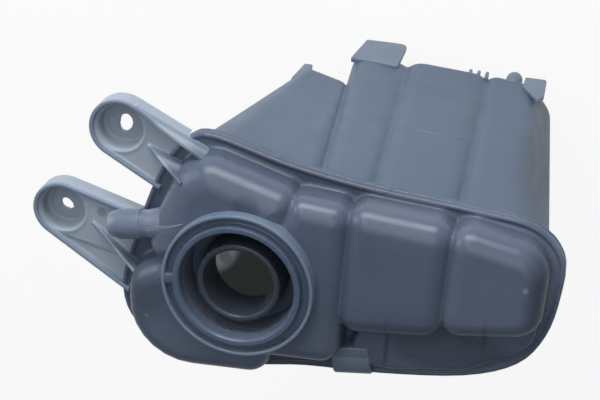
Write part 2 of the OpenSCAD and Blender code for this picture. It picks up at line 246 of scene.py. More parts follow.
def moulding(name, field, low, step, most=190000, whole=None):
    # Skin of a distance field as a mesh, shaded by the slope of the whole field where the piece is a part of it.
    whole = field if whole is None else whole
    band, apart = 3 * step, 0.7
    skin = openvdb.FloatGrid(band)
    skin.copyFromArray(np.clip(field, -band, band).astype(np.float32))
    points, quads = skin.convertToQuads(0.0)
    points = (points * step + np.array(low)) * MM
    mesh = bpy.data.meshes.new(name)
    mesh.vertices.add(len(points))
    mesh.vertices.foreach_set("co", points.astype(np.float32).ravel())
    mesh.loops.add(quads.size)
    mesh.loops.foreach_set("vertex_index", quads.astype(np.int32).ravel())
    mesh.polygons.add(len(quads))
    mesh.polygons.foreach_set("loop_start", np.arange(len(quads), dtype=np.int32) * 4)
    mesh.update(calc_edges=True)
    mesh.validate()
    piece = bpy.data.objects.new(name, mesh)
    bpy.context.scene.collection.objects.link(piece)
    if len(quads) * 2 > most:
        thin = piece.modifiers.new("thin", "DECIMATE")
        thin.ratio = most / (len(quads) * 2)
        settle(piece)
    mesh = piece.data
    mesh.shade_smooth()
    spots = np.empty(len(mesh.vertices) * 3, np.float32)
    mesh.vertices.foreach_get("co", spots)
    spots = (spots.reshape(-1, 3) / MM - np.array(low)) / step
    slope = np.stack([sample(whole, spots + d) - sample(whole, spots - d) for d in np.eye(3) * apart], 1)
    slope /= np.maximum(np.linalg.norm(slope, axis=1), 1e-9)[:, None]
    mesh.normals_split_custom_set_from_vertices(slope)
    return piece


flange_line = closed_curve(flange_points, 4)
upper_step = 0.6
upper_low = (-64.0, -60.0, -33.0)
x, y, z = grid(upper_low, (144.0, 66.0, 0.0), upper_step)
flange_plan = plan_distance(x, y, flange_line)

valley_a, valley_b, overlap = 45.0, 90.0, 1.5
pillow_top, dome_top, ledge_top = -7.5, -6.0, -20.8
raised = [
    # Corners with their radii, height of the top and radius of its shoulder, for the dome, the drum, the three
    # pillows and the ledge.
    ([(21.5, 10, 5), (21.5, 43.5, 9), (-20, 54, 14), (-33, 46.5, 14), (-43.5, 19, 20), (-46, 1, 9), (10, -12, 10)],
     dome_top, 13),
    ([(-53.3, -55, 30), (15, -48.8, 10), (15, 12, 9), (-40, 0, 8), (-53.5, -8, 14)], pillow_top, 10),
    ([(4, -39.8, 9), (valley_a + overlap, -36.3, 9), (valley_a + overlap, 42, 9), (20, 43, 7), (4, 14, 10)],
     pillow_top, 9.5),
    ([(valley_a - overlap, -20, 10), (valley_b + overlap, -13, 10), (valley_b + overlap, 42.5, 10),
      (valley_a - overlap, 44, 9)], pillow_top, 10),
    ([(valley_b - overlap, -13, 10), (133.4, -4, 13), (133.4, 37, 16), (valley_b - overlap, 44, 10)], pillow_top, 10),
    ([(48, -40, 8), (70, -39, 8), (104, -32, 20), (131, -14, 14), (133, 6, 6), (60, 6, 8)], ledge_top, 3.0)]
forms = None
for corners, top, shoulder in raised:
    form = rounded_top(plan_distance(x, y, rounded_outline(corners)), z - top, shoulder)
    forms = form if forms is None else soft_union(forms, form, 1.6)
lip = rounded_top(flange_plan, abs(z - (weld_z + half_lip)) - half_lip, 0.7)
bead_in, bead_sunk, bead_radius = 1.4, 0.1, 1.0
bead = np.hypot(flange_plan + bead_in, z - flange_z + bead_sunk) - bead_radius
tank = soft_union(soft_union(lip, bead, 0.8), forms, 2.6)

# Two low ridges run along the front lip, under the first pillow.
ridge_half, ridge_rise, ridges_x, ridges_half, ridges_y = 0.55, 0.8, 28.5, 14.5, -35
for line_in in (2.9, 5.3):
    ridge = np.maximum(abs(flange_plan + line_in) - ridge_half, abs(z - flange_z) - ridge_rise)
    tank = soft_union(tank, np.maximum(ridge, np.maximum(abs(x - ridges_x) - ridges_half, y - ridges_y)), 0.7)

# The inside follows the outside at the thickness of the wall, and two ribs cross it.
hollow = np.maximum(forms + wall, flange_plan + lip_width + wall)
rib_half, rib_end = 1.2, 6
for rib_x in (67, 110):
    hollow = np.maximum(hollow, -np.maximum(abs(x - rib_x) - rib_half, y - rib_end))
tank = np.maximum(np.maximum(tank, -hollow), weld_z - z)

# The dome and the drum run into the collar of the neck, with a small fillet round it.
seat_radius, seat_z, seat_half, neck_opening = 34.4, -14, 4.5, 33.7
from_axis = np.hypot(x, y)
tank = soft_union(tank, np.maximum(from_axis - seat_radius, abs(z - seat_z) - seat_half), 1.6)
tank = np.maximum(tank, neck_opening - from_axis)


def height_at(field, low, step, px, py, looks=200):
    # Height of the upper skin over a point of the plan, looked up in a column of points.
    top = field.shape[2] - 1
    column = [np.full(looks, v) for v in ((px - low[0]) / step, (py - low[1]) / step)]
    values = sample(field, np.stack(column + [np.linspace(0, top, looks)], 1))
    solid = np.flatnonzero(values < 0)
    return low[2] + (solid[-1] if len(solid) else 0) / (looks - 1) * top * step


# The sockets of a Mix node that mixes two colours.
mix_share, mix_first, mix_second, mix_result = 0, 6, 7, 2


def soft_plastic(name, dark, light, roughness, clouds_per_m=14, glow=0.0, dust=0.5):
    # Milky moulded plastic: cloudy colour, an orange-peel skin, rub marks in the gloss and a little dust.
    material = bpy.data.materials.new(name)
    material.use_nodes = True
    nodes, links = material.node_tree.nodes, material.node_tree.links
    shader = nodes["Principled BSDF"]
    place = nodes.new("ShaderNodeTexCoord").outputs["Object"]

    def noise(scale, detail, vector=place):
        texture = nodes.new("ShaderNodeTexNoise")
        texture.inputs["Scale"].default_value = scale
        texture.inputs["Detail"].default_value = detail
        links.new(vector, texture.inputs["Vector"])
        return texture.outputs["Fac"]

    def ranged(value, low, high, start, end):
        span = nodes.new("ShaderNodeMapRange")
        set_range(span, low, high, start, end)
        links.new(value, span.inputs["Value"])
        return span.outputs["Result"]

    clouds = nodes.new("ShaderNodeValToRGB")
    clouds.color_ramp.elements[0].position = 0.32
    clouds.color_ramp.elements[0].color = (*dark, 1)
    clouds.color_ramp.elements[1].position = 0.72
    clouds.color_ramp.elements[1].color = (*light, 1)
    links.new(noise(clouds_per_m, detail=5), clouds.inputs["Fac"])
    specks = nodes.new("ShaderNodeTexVoronoi")
    specks.inputs["Scale"].default_value = 260
    links.new(place, specks.inputs["Vector"])
    dusty = nodes.new("ShaderNodeMath")
    dusty.operation = "MULTIPLY"
    links.new(ranged(specks.outputs["Distance"], 0.03, 0.09, 1, 0), dusty.inputs[0])
    links.new(ranged(noise(70, detail=3), 0.56, 0.66, 0, dust), dusty.inputs[1])
    colour = nodes.new("ShaderNodeMix")
    colour.data_type = "RGBA"
    links.new(dusty.outputs[0], colour.inputs[mix_share])
    links.new(clouds.outputs["Color"], colour.inputs[mix_first])
    colour.inputs[mix_second].default_value = (0.5, 0.53, 0.56, 1)
    links.new(colour.outputs[mix_result], shader.inputs["Base Color"])
    stretch = nodes.new("ShaderNodeMapping")
    stretch.inputs["Scale"].default_value = (1, 6, 1)
    links.new(place, stretch.inputs["Vector"])
    rubs = noise(60, 3, stretch.outputs["Vector"])
    smoother, rougher = roughness - 0.03, roughness + 0.05
    links.new(ranged(rubs, 0.35, 0.7, smoother, rougher), shader.inputs["Roughness"])
    bump = nodes.new("ShaderNodeBump")
    bump.inputs["Strength"].default_value = 0.04
    bump.inputs["Distance"].default_value = 0.0004
    links.new(noise(600, detail=2), bump.inputs["Height"])
    links.new(bump.outputs["Normal"], shader.inputs["Normal"])
    shader.inputs["IOR"].default_value = 1.49
    if glow:
        shader.inputs["Subsurface Weight"].default_value = glow
        shader.inputs["Subsurface Radius"].default_value = (0.9, 1.0, 1.1)
        shader.inputs["Subsurface Scale"].default_value = 0.004
    return material


def tint_patch(material, centre, radii, tint, strength, edge=0.4):
    # Lays a soft-edged ellipsoid of another tint over the colour of a plastic. It serves painted shade, painted light
    # and real marks alike.
    nodes, links = material.node_tree.nodes, material.node_tree.links
    target = nodes["Principled BSDF"].inputs["Base Color"]
    under = target.links[0].from_socket
    place = next(node for node in nodes if node.bl_idname == "ShaderNodeTexCoord").outputs["Object"]
    for operation, amounts in (("SUBTRACT", centre), ("DIVIDE", radii), ("LENGTH", None)):
        step = nodes.new("ShaderNodeVectorMath")
        step.operation = operation
        links.new(place, step.inputs[0])
        if amounts:
            step.inputs[1].default_value = [amount * MM for amount in amounts]
        place = step.outputs[0]
    fade = nodes.new("ShaderNodeMapRange")
    fade.interpolation_type = "SMOOTHSTEP"
    set_range(fade, 1 - edge, 1, strength, 0)
    links.new(step.outputs["Value"], fade.inputs["Value"])
    mix = nodes.new("ShaderNodeMix")
    mix.data_type = "RGBA"
    links.new(fade.outputs["Result"], mix.inputs[mix_share])
    links.new(under, mix.inputs[mix_first])
    mix.inputs[mix_second].default_value = (*tint, 1)
    links.new(mix.outputs[mix_result], target)


def finish(piece, material, node):
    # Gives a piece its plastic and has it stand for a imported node.
    piece.data.materials.clear()
    piece.data.materials.append(material)
    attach(piece, "root")
    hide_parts(node)


upper_plastic = soft_plastic("upper_plastic", (0.084, 0.11, 0.168), (0.114, 0.143, 0.205), 0.3, glow=0.12)
# Tints for painted shade (also laid on real smudges), for painted light, and for real wear.
painted_shade_and_smudge_tint, painted_light_tint, worn_tint = (0.03, 0.04, 0.065), (0.17, 0.21, 0.28), (0.3, 0.35, 0.42)
upper_tints = [
    # Painted shade darkens the flange and the foot of the forms, the ribs seen through the wall, the dome beside the
    # collar, the end of the third pillow, the outer side of the drum, the front edge of the pillows and the ledge.
    # Painted light pales the end of the flange. The last two patches are real worn spots. Each has its centre, radii,
    # tint, strength and edge.
    ((26, 0, -30), (112, 80, 11.5), painted_shade_and_smudge_tint, 0.5, 0.45),  # flange and the foot of the forms
    ((67, -22, -16), (1.5, 26, 16), painted_shade_and_smudge_tint, 0.55, 0.5),  # first rib, seen through the wall
    ((110, -8, -16), (1.5, 17, 16), painted_shade_and_smudge_tint, 0.55, 0.5),  # second rib
    ((0.4, 37, -7), (8, 7, 5), painted_shade_and_smudge_tint, 0.45, 0.5),  # dome, beside the collar
    ((136, 20, -14), (16, 46, 15), painted_shade_and_smudge_tint, 0.6, 0.6),  # end of the third pillow
    ((-45, -14, -9), (16, 24, 18), painted_shade_and_smudge_tint, 0.45, 0.7),  # outer side of the drum
    ((80, -10, -8), (62, 16, 9), painted_shade_and_smudge_tint, 0.25, 0.8),  # front edge of the pillows
    ((95, -22, -21), (34, 15, 4.5), painted_shade_and_smudge_tint, 0.45, 0.4),  # ledge
    ((135, 24, -27), (9, 30, 6), painted_light_tint, 0.6, 0.7),  # end of the flange
    ((124.4, 21, -8), (1.6, 1.6, 3), worn_tint, 0.5),  # worn spot on the third pillow
    ((-42.3, -26.9, -9.4), (1.5, 1.2, 3), worn_tint, 0.5)]  # worn spot on the drum
for tint in upper_tints:
    tint_patch(upper_plastic, *tint)

# The skin is cut in two in a valley, with a grid step of overlap, so that each half stays a light mesh. Both are
# shaded by the uncut field, which hides the cut.
for half, part in (("left", x - valley_a - upper_step), ("right", valley_a - upper_step - x)):
    upper_half = moulding("upper_moulding_" + half, np.maximum(tank, part), upper_low, upper_step, whole=tank)
    finish(upper_half, upper_plastic, "upper_shell")

# ---------------------------------------------------------------- weld flash
# Hot-plate welding pushes a thin, ragged curl of plastic out of the seam. Small flecks of it sit round the
# flange, between the two lips.


def nodes_tree(name, inputs):
    # An empty Geometry Nodes tree with named inputs.
    tree = bpy.data.node_groups.new(name, "GeometryNodeTree")
    tree.interface.new_socket("Geometry", in_out="INPUT", socket_type="NodeSocketGeometry")
    tree.interface.new_socket("Geometry", in_out="OUTPUT", socket_type="NodeSocketGeometry")
    for label, kind, value in inputs:
        socket = tree.interface.new_socket(label, in_out="INPUT", socket_type=kind)
        socket.default_value = value
    return tree, tree.nodes.new("NodeGroupInput").outputs, tree.nodes.new("NodeGroupOutput").inputs


def end_tree(tree, made, material, outlet):
    # Every tree ends in real geometry with its material on it.
    real = tree.nodes.new("GeometryNodeRealizeInstances")
    paint_it = tree.nodes.new("GeometryNodeSetMaterial")
    paint_it.inputs["Material"].default_value = material
    tree.links.new(made, real.inputs["Geometry"])
    tree.links.new(real.outputs["Geometry"], paint_it.inputs["Geometry"])
    tree.links.new(paint_it.outputs["Geometry"], outlet["Geometry"])


def grown(name, tree, values, points=((0, 0, 0),), edges=()):
    # Runs a tree on a few points and edges, and keeps the result as a plain mesh.
    mesh = bpy.data.meshes.new(name)
    mesh.from_pydata([[c * MM for c in p] for p in points], edges, [])
    piece = bpy.data.objects.new(name, mesh)
    bpy.context.scene.collection.objects.link(piece)
    maker = piece.modifiers.new("maker", "NODES")
    maker.node_group = tree
    for item in tree.interface.items_tree:
        if item.in_out == "INPUT" and item.name in values:
            maker[item.identifier] = values[item.name]
    settle(piece)
    return piece


flash_plastic = soft_plastic("flash_plastic", (0.2, 0.26, 0.34), (0.34, 0.41, 0.5), 0.35, dust=0)
tree, given, outlet = nodes_tree("weld_flash", [
    ("Flecks", "NodeSocketInt", 200), ("Size", "NodeSocketFloat", 0.001), ("Seed", "NodeSocketInt", 4)])
path = tree.nodes.new("GeometryNodeMeshToCurve")
spots = tree.nodes.new("GeometryNodeCurveToPoints")
fleck = tree.nodes.new("GeometryNodeMeshIcoSphere")
fleck.inputs["Subdivisions"].default_value = 2
spread = tree.nodes.new("FunctionNodeRandomValue")
spread.data_type = "FLOAT_VECTOR"
spread.inputs["Min"].default_value = (0.15, 0.15, 0.2)
spread.inputs["Max"].default_value = (0.7, 0.7, 2.0)
placed = tree.nodes.new("GeometryNodeInstanceOnPoints")
tree.links.new(given["Geometry"], path.inputs["Mesh"])
tree.links.new(path.outputs["Curve"], spots.inputs["Curve"])
tree.links.new(given["Flecks"], spots.inputs["Count"])
tree.links.new(given["Size"], fleck.inputs["Radius"])
tree.links.new(given["Seed"], spread.inputs["Seed"])
tree.links.new(spots.outputs["Points"], placed.inputs["Points"])
tree.links.new(spots.outputs["Rotation"], placed.inputs["Rotation"])
tree.links.new(fleck.outputs["Mesh"], placed.inputs["Instance"])
tree.links.new(spread.outputs["Value"], placed.inputs["Scale"])
end_tree(tree, placed.outputs["Instances"], flash_plastic, outlet)
seam_in_x, seam_in_y = 0.995, 0.987
seam = [(px * seam_in_x, py * seam_in_y, weld_z) for px, py in flange_line]
weld_flash = grown(
    "weld_flash", tree, {"Flecks": 300, "Size": 0.0007, "Seed": 4}, seam,
    [(i, (i + 1) % len(seam)) for i in range(len(seam))])
finish(weld_flash, flash_plastic, "upper_shell")

# ---------------------------------------------------------------- mounting ears
# Two ears on the neck side hold the tank on bolts through rubber grommets. Each is a thin plate with a rim
# and a cup, moulded with the top half and stiffened by gussets. They are thin, so light makes them paler.
cup_radius, cup_depth, cup_base, rim, ear_thickness = 10.4, 7.0, 2.0, 2.0, 2.5
rim_low, rim_high = weld_z - 5.5, flange_z + 2
cup_foot = weld_z - cup_depth
plate_level = weld_z + ear_thickness
cup_ledge, flare_depth, flare_slope, thin_web = 2.2, 1.2, 0.6, 1.6


def ear_side(centre, radius, q, way):
    # Direction from the tip's centre to where the straight side from q touches the tip.
    d = np.array(q) - centre
    a = math.atan2(d[1], d[0]) + way * math.acos(radius / np.hypot(*d))
    return np.array((math.cos(a), math.sin(a)))


def strap_outline(centre, radius, low, high):
    # A round tip with straight sides that run to two points under the flange.
    centre = np.array(centre)
    u, v = ear_side(centre, radius, low, -1), ear_side(centre, radius, high, 1)
    a, b = math.atan2(v[1], v[0]), math.atan2(u[1], u[0])
    b += math.tau * (b < a)
    tip = [centre + radius * np.array((math.cos(c), math.sin(c))) for c in np.linspace(a, b, 31)]
    return np.array([np.array(low), np.array(high)] + tip)


def upright_web(x, y, z, p, q, thick, low_p, high_p, low_q, high_q):
    # A thin upright wall from p to q, with its lower and upper edge at each end.
    along = np.array(q) - np.array(p)
    length = np.hypot(*along)
    ux, uy = along / length
    s = (x - p[0]) * ux + (y - p[1]) * uy
    t = abs((y - p[1]) * ux - (x - p[0]) * uy) - thick / 2
    share = np.clip(s / length, 0, 1)
    across = np.maximum(t, abs(s - length / 2) - length / 2)
    level = np.maximum(z - high_p - (high_q - high_p) * share, low_p + (low_q - low_p) * share - z)
    return rounded_top(across, level, 0.4)


def between(z, low, high):
    # Distance to the layer between two heights, or between two places along a way.
    return abs(z - (low + high) / 2) - (high - low) / 2


def ear_field(x, y, z, centre, radius, low, high, plate_low, bolt, webs):
    # Plate, rim, cup and gussets, with the bolt hole through them and the flange's room left clear.
    outer = plan_distance(x, y, strap_outline(centre, radius, low, high))
    plate_plan = plan_distance(x, y, strap_outline(centre, radius, plate_low, high))
    px, py = x - centre[0], y - centre[1]
    from_centre = np.hypot(px, py)
    plate = rounded_top(plate_plan + 1, abs(z - weld_z - ear_thickness / 2) - ear_thickness / 2, 0.3)
    edge = rounded_top(abs(outer + rim / 2) - rim / 2, between(z, rim_low, rim_high), 0.6)
    cup = rounded_top(from_centre - cup_radius - rim, between(z, cup_foot, plate_level), 0.8)
    ear = soft_union(soft_union(plate, edge, 1.0), cup, 1.2)
    for p, q, thick, *edges in webs:
        ear = soft_union(ear, upright_web(x, y, z, p, q, thick, *edges), 0.8)
    if plate_low != low:
        # The lower ear has a second, lower floor between its plate and its outer rim, and a step up to the plate.
        middle = np.array(centre)
        u, v = ear_side(middle, radius, low, -1), ear_side(middle, radius, plate_low, -1)
        start, end = middle + (radius - 1) * v, np.array(plate_low)
        floor_plan = plan_distance(x, y, np.array([start, middle + (radius - 1) * u, np.array(low) - u, end]))
        floor_up, floor_half, step_top = 0.7, 0.8, plate_level - 0.3
        ear = soft_union(ear, rounded_top(floor_plan, abs(z - weld_z - floor_up) - floor_half, 0.3), 0.8)
        ear = soft_union(ear, upright_web(x, y, z, start, end, thin_web, rim_low, step_top, rim_low, step_top), 0.8)
    flare = np.clip(z - (plate_level - flare_depth), 0, flare_depth) * flare_slope
    ear = -soft_union(-ear, np.maximum(from_centre - cup_radius - flare, cup_foot + cup_base + 1 - z), 0.5)
    ear = np.maximum(ear, -np.maximum(from_centre - cup_radius + cup_ledge, cup_foot + cup_base - z))

    # The hole is an oval with a slightly ragged edge.
    width, height, turn, shift_x, shift_y = bolt
    hx = (px - shift_x) * math.cos(turn) + (py - shift_y) * math.sin(turn)
    hy = (py - shift_y) * math.cos(turn) - (px - shift_x) * math.sin(turn)
    bend = np.arctan2(hy, hx)
    ragged = 0.12 * np.sin(3 * bend + 1) + 0.06 * np.sin(9 * bend)
    hole = (np.hypot(hx / width, hy / height) - 1) * min(width, height) - ragged
    ear = np.maximum(ear, -hole)

    # The ear stops at the flange, and its gussets run on over it to the dome.
    flange = plan_distance(x, y, flange_line)
    below_lip = np.maximum(flange - 0.3, z - weld_z)
    above_lip = np.maximum(flange + lip_width / 2, weld_z - z)
    gussets = np.full(ear.shape, 1e3, np.float32)
    for p, q, thick, *edges in webs:
        gussets = np.minimum(gussets, upright_web(x, y, z, p, q, thick, *edges))
    return np.minimum(np.maximum(ear, -np.minimum(below_lip, above_lip)), gussets)


web_foot = weld_z + 1
ears = [
    # Name, corners of its grid, (centre and radius of the tip, lower and upper end of the strap, lower end of the
    # plate, bolt hole as width, height, turn and shift), and for each gusset its two ends, its thickness, and its
    # foot and top at each end.
    ("upper_ear", (-82.0, 20.0, -38.5), (-9.0, 72.0, -7.0),
     ((-65.0, 54.2), 14.2, (-36.5, 23.8), (-24, 51.6), (-36.5, 23.8), (3.1, 4.3, -0.15, 0.0, -0.4)),
     [((-58, 66.2), (-13, 47.2), rim, web_foot, rim_high, web_foot, flange_z + 14.5),
      ((-51.5, 48.2), (-30, 41.3), thin_web, web_foot, plate_level + 0.3, web_foot, flange_z + 19)]),
    ("lower_ear", (-108.0, -31.0, -38.5), (-42.0, 26.0, -15.5),
     ((-91.6, 8.6), 13.8, (-56.2, -28.2), (-48, 12.2), (-58, -10.6), (3.2, 2.5, -0.6, -0.7, -1.0)),
     [((-76.5, 4.7), (-50, -13.4), thin_web, web_foot, plate_level + 0.6, web_foot, flange_z + 10.5)])]
# The ear plastic is paler than the top half's: painted light coming through the thin plates. Below, the rim tops and
# the tall gussets of the upper ear get painted shade; the small round mark is a mark on the skin.
ear_plastic = soft_plastic("ear_plastic", (0.295, 0.345, 0.41), (0.365, 0.43, 0.51), 0.38, 16, glow=0.2, dust=0.7)
for tint in (
        ((-70, 30, -24), (90, 90, 3.2), (0.15, 0.2, 0.29), 0.75, 0.5),  # top edge of the rims
        ((-22, 46, -11), (26, 20, 13), (0.1, 0.13, 0.2), 0.9, 0.5),  # tall gussets of the upper ear
        ((-72.4, 10.6, -27.5), (2.6, 2.6, 3), (0.1, 0.12, 0.15), 0.5, 0.3),  # small round mark, its dark edge
        ((-72.4, 10.6, -27.5), (1.9, 1.9, 3), (0.24, 0.28, 0.33), 0.9, 0.2)):  # and its middle
    tint_patch(ear_plastic, *tint)
ear_step = 0.4
for name, low, high, shape, webs in ears:
    x, y, z = grid(low, high, ear_step)
    ear = moulding(name, ear_field(x, y, z, *shape, webs), low, ear_step, most=150000)
    finish(ear, ear_plastic, "upper_shell")

# ---------------------------------------------------------------- vent spigot
# A short tube for the vent hose, moulded level with the dome beside the lower ear. It has a raised seat for
# the hose, an open tip that narrows a little, and a wider root where it meets the dome.
vent_start = np.array((-44, 15.2, -17.0))
vent_turn = math.radians(11.5)
vent_way = np.array((-math.cos(vent_turn), -math.sin(vent_turn), 0))
vent_radius, vent_wall, vent_length, vent_root = 6.2, 2.2, 21.0, 9.0
vent_low, vent_step = (-72.0, -2.0, -26.0), 0.33
x, y, z = grid(vent_low, (-33.0, 27.0, -7.0), vent_step)
px, py, pz = x - vent_start[0], y - vent_start[1], z - vent_start[2]
s = px * vent_way[0] + py * vent_way[1]
off_axis = np.sqrt((px - s * vent_way[0]) ** 2 + (py - s * vent_way[1]) ** 2 + pz**2)
vent_profile = ((-9, 8.2), (-2, 7.4), (2, 6.5), (4.6, 6.3), (5.4, 7.0), (15.9, 7.0), (21, 5.4))  # along it, radius
taper = np.interp(s, *zip(*vent_profile)).astype(np.float32)
spigot = rounded_top(off_axis - taper, between(s, -vent_root, vent_length), 1.0)
spigot = np.maximum(spigot, vent_radius - vent_wall - off_axis)
vent_plastic = soft_plastic("vent_plastic", (0.13, 0.165, 0.235), (0.17, 0.205, 0.28), 0.3, 30, glow=0.2)
# The tip is tinted paler: painted light coming through its thin wall.
tint_patch(vent_plastic, (-66, 10.7, -17), (9, 9, 10), (0.25, 0.3, 0.37), 0.85, 0.5)  # thin tip
finish(moulding("vent_spigot", spigot, vent_low, vent_step), vent_plastic, "upper_shell")


def bar_along(tree, curve, radius):
    # A round bar along a curve.
    section = tree.nodes.new("GeometryNodeCurvePrimitiveCircle")
    section.inputs["Resolution"].default_value = 8
    bar = tree.nodes.new("GeometryNodeCurveToMesh")
    bar.inputs["Fill Caps"].default_value = True
    tree.links.new(radius, section.inputs["Radius"])
    tree.links.new(curve, bar.inputs["Curve"])
    tree.links.new(section.outputs["Curve"], bar.inputs["Profile Curve"])
    return bar.outputs["Mesh"]


# Two fine flow lines, left by the melt in the mould, run from the root of the vent over the dome. Each is laid on
# whichever skin is higher, the spigot's or the dome's.
line_plastic = soft_plastic("line_plastic", (0.2, 0.25, 0.33), (0.25, 0.3, 0.38), 0.3, dust=0)
tree, given, outlet = nodes_tree("flow_line", [("Radius", "NodeSocketFloat", 0.0004)])
path = tree.nodes.new("GeometryNodeMeshToCurve")
tree.links.new(given["Geometry"], path.inputs["Mesh"])
end_tree(tree, bar_along(tree, path.outputs["Curve"], given["Radius"]), line_plastic, outlet)
parts = 24
for label, start, end in (
        ("flow_line_a", (-45.4, 15.6), (-27.3, 23.5)), ("flow_line_b", (-45.3, 14.4), (-27.3, 23.2))):
    run = []
    for k in range(parts + 1):
        px, py = (a + (b - a) * k / parts for a, b in zip(start, end))
        dome_z = height_at(tank, upper_low, upper_step, px, py)
        run.append((px, py, max(dome_z, height_at(spigot, vent_low, vent_step, px, py))))
    flow_line = grown(label, tree, {"Radius": 0.0002}, run, [(k, k + 1) for k in range(parts)])
    finish(flow_line, line_plastic, "upper_shell")

# ---------------------------------------------------------------- clip block
# A rounded block on the flange lip that a pipe clip snaps over, moulded with the top half and set at an angle to
# it. A small tab stands at its foot and a lower step rises behind it.
clip_low, clip_step = (38.0, -52.0, -31.0), 0.33
x, y, z = grid(clip_low, (66.0, -27.0, -14.0), clip_step)
clip_turn, clip_x, clip_y = math.radians(10), 51.8, -39.2
along = (x - clip_x) * math.cos(clip_turn) + (y - clip_y) * math.sin(clip_turn)
across = (y - clip_y) * math.cos(clip_turn) - (x - clip_x) * math.sin(clip_turn)
barrel_radius, barrel_half, barrel_z, barrel_side, barrel_foot = 8, 8.8, -28, 7, weld_z + 0.6
barrel = rounded_top(np.hypot(across, z - barrel_z) - barrel_radius, abs(along) - barrel_half, 0.8)
barrel = np.maximum(barrel, np.maximum(barrel_foot - z, abs(across) - barrel_side))
tab_along, tab_across, tab_half = 4.5, -5.5, (3, 2.6, 1.7)
tab_plan = np.maximum(abs(along - tab_along) - tab_half[0], abs(across - tab_across) - tab_half[1])
tab = rounded_top(tab_plan, abs(z - (weld_z + 2.3)) - tab_half[2], 0.5)
step_across, step_z, step_half = 6, -24.5, (8.6, 2.4, 4.0)
step_plan = np.maximum(abs(along) - step_half[0], abs(across - step_across) - step_half[1])
step_block = rounded_top(step_plan, abs(z - step_z) - step_half[2], 1.2)
clip = soft_union(soft_union(barrel, tab, 0.8), step_block, 1.0)
clip_plastic = soft_plastic("clip_plastic", (0.125, 0.16, 0.23), (0.16, 0.2, 0.275), 0.32, 30)
finish(moulding("clip_block", clip, clip_low, clip_step), clip_plastic, "upper_shell")

# ---------------------------------------------------------------- filler neck
# The neck is part of the upper moulding: a threaded wall for the screw cap, a thin collar round it with one
# web between them, and a sealing tube inside that reaches down into the tank.
bore_radius, neck_radius, collar_radius, collar_wall = 26.0, 29.2, 34.6, 1.5
tube_radius, tube_bore, tube_top, tube_end = 19.2, 16.0, -4, -25
neck_floor, collar_foot, shelf_radius = -21, -13, collar_radius - 0.6
neck_profile = [
    # Radius, height, rounding.
    (tube_bore, tube_end, 0.8), (neck_radius, tube_end, 1.0), (neck_radius, collar_foot, 1.0),
    (shelf_radius, collar_foot, 0.3), (shelf_radius, -4, 0.3), (neck_radius, -4, 1.6), (neck_radius, 0, 0.6),
    (bore_radius + 0.8, 0, 0.4), (bore_radius, -1.4, 0.6), (bore_radius, neck_floor, 1.2),
    (tube_radius, neck_floor, 1.2), (tube_radius, tube_top, 1.55), (tube_bore, tube_top, 1.55)]


def eased_profile(corners, steps=5):
    # Corners of a turned section, each rounded to its own radius.
    line = []
    for i, (r, h, ease) in enumerate(corners):
        here = np.array((r, h))
        to_last = np.array(corners[i - 1][:2]) - here
        to_next = np.array(corners[(i + 1) % len(corners)][:2]) - here
        a = here + to_last / np.hypot(*to_last) * ease
        b = here + to_next / np.hypot(*to_next) * ease
        for k in range(steps + 1):
            t = k / steps
            line.append(tuple((1 - t) ** 2 * a + 2 * t * (1 - t) * here + t * t * b))
    return line


def turned(name, profile, steps, centre=(0, 0)):
    # A closed section turned round an upright axis.
    n = len(profile)
    points = [
        ((centre[0] + r * math.cos(a)) * MM, (centre[1] + r * math.sin(a)) * MM, h * MM)
        for a in (math.tau * k / steps for k in range(steps)) for r, h in profile]
    faces = [
        (k * n + i, k * n + (i + 1) % n, (k + 1) % steps * n + (i + 1) % n, (k + 1) % steps * n + i)
        for k in range(steps) for i in range(n)]
    mesh = bpy.data.meshes.new(name)
    mesh.from_pydata(points, [], faces)
    mesh.shade_smooth()
    piece = bpy.data.objects.new(name, mesh)
    bpy.context.scene.collection.objects.link(piece)
    return piece


def block(name, first, second, bevel):
    # A block from one outline to its like, with eased edges.
    n = len(first)
    faces = [tuple(range(n))[::-1], tuple(range(n, 2 * n))]
    faces += [(i, (i + 1) % n, n + (i + 1) % n, n + i) for i in range(n)]
    mesh = bpy.data.meshes.new(name)
    mesh.from_pydata([[c * MM for c in p] for p in first + second], [], faces)
    piece = bpy.data.objects.new(name, mesh)
    bpy.context.scene.collection.objects.link(piece)
    ease = piece.modifiers.new("ease", "BEVEL")
    ease.width, ease.segments, ease.limit_method, ease.harden_normals = bevel * MM, 3, "ANGLE", False
    settle(piece)
    return piece


neck_steps = 240
filler_neck = turned("filler_neck", eased_profile(neck_profile), neck_steps)
neck_plastic = soft_plastic("neck_plastic", (0.075, 0.105, 0.17), (0.11, 0.145, 0.215), 0.28, 18, glow=0.2)
# Painted shade darkens the throat and the sealing tube inside the thread, and a painted violet highlight lies along
# the tube's end.
tint_patch(neck_plastic, (0, 0, -14), (24.5, 24.5, 26), (0.035, 0.042, 0.06), 0.9, 0.15)  # dark throat and tube
tint_patch(neck_plastic, (2, -15, -24.4), (15, 8, 1.0), (0.2, 0.17, 0.32), 0.7, 0.5)  # violet sheen on the tube's end
finish(filler_neck, neck_plastic, "upper_shell")

# The collar stands round the neck. It is thin, so its paler colour is painted light coming through it.
collar_inside, collar_top = collar_radius - collar_wall, -1
neck_collar = turned("neck_collar", eased_profile([
    (collar_inside, collar_foot, 0.2), (collar_radius, collar_foot, 0.2), (collar_radius, collar_top, 0.5),
    (collar_inside, collar_top, 0.5)]), neck_steps)
collar_plastic = soft_plastic("collar_plastic", (0.15, 0.2, 0.28), (0.2, 0.26, 0.34), 0.3, 18, glow=0.2)
finish(neck_collar, collar_plastic, "upper_shell")

